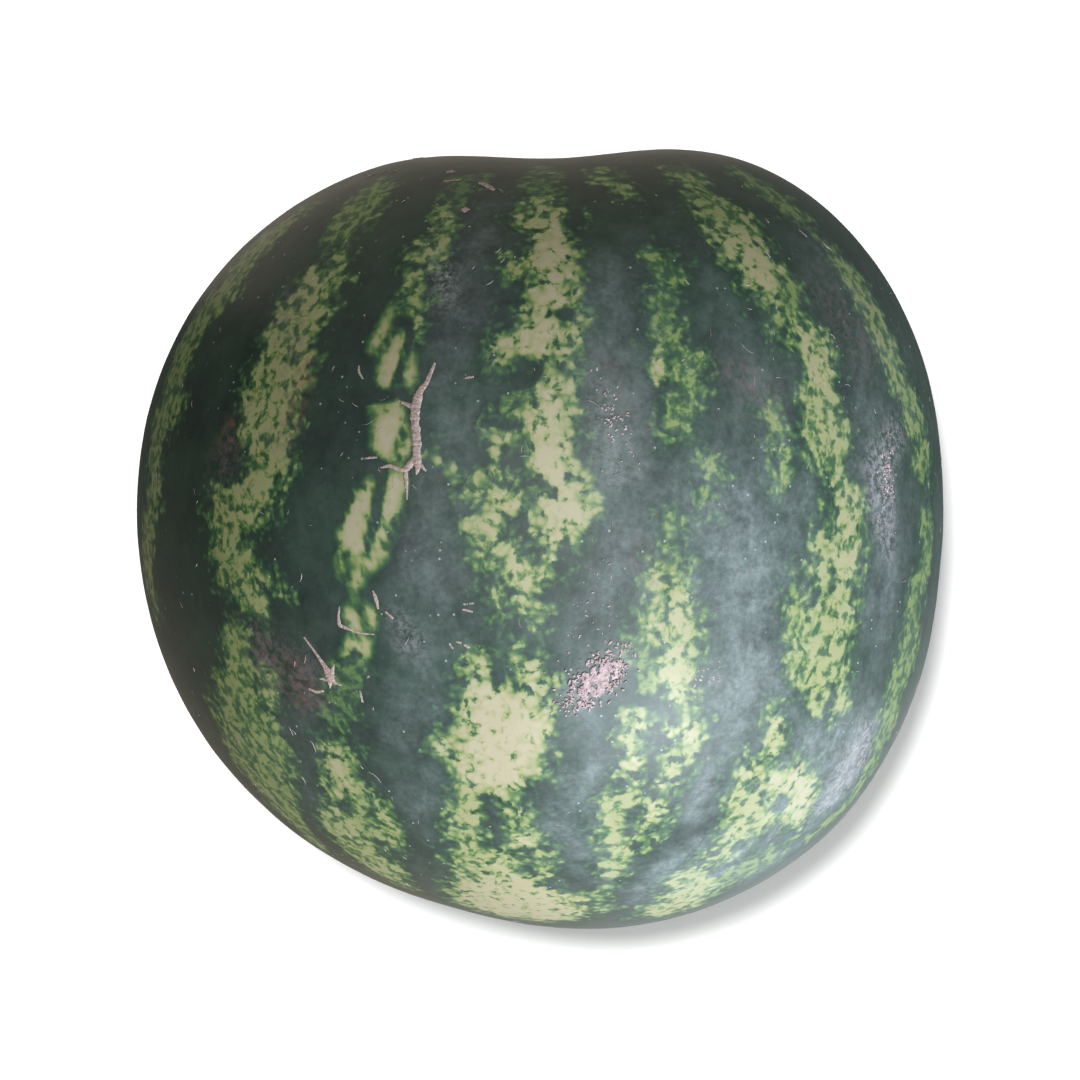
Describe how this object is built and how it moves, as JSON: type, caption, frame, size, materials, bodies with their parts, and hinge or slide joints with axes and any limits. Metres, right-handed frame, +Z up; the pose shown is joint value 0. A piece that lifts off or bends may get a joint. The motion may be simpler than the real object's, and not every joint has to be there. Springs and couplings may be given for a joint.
{
  "type": "watermelon",
  "caption": "Whole uncut watermelon, nearly round, with a hollow at the stem end, lying on its side on a small flat patch.",
  "frame": {"origin": "on the ground, under the middle of the fruit's box", "axes": "+Z up from the ground patch, +Y towards the stem end, +X to the right for someone looking down on it with the stem end away from them"},
  "size_m": [0.2608, 0.2506, 0.2463],
  "materials": {
    "rind": "satin",
    "cork": "matte"
  },
  "bodies": {
    "root": {"watermelon": "rind"}
  },
  "joints": []
}
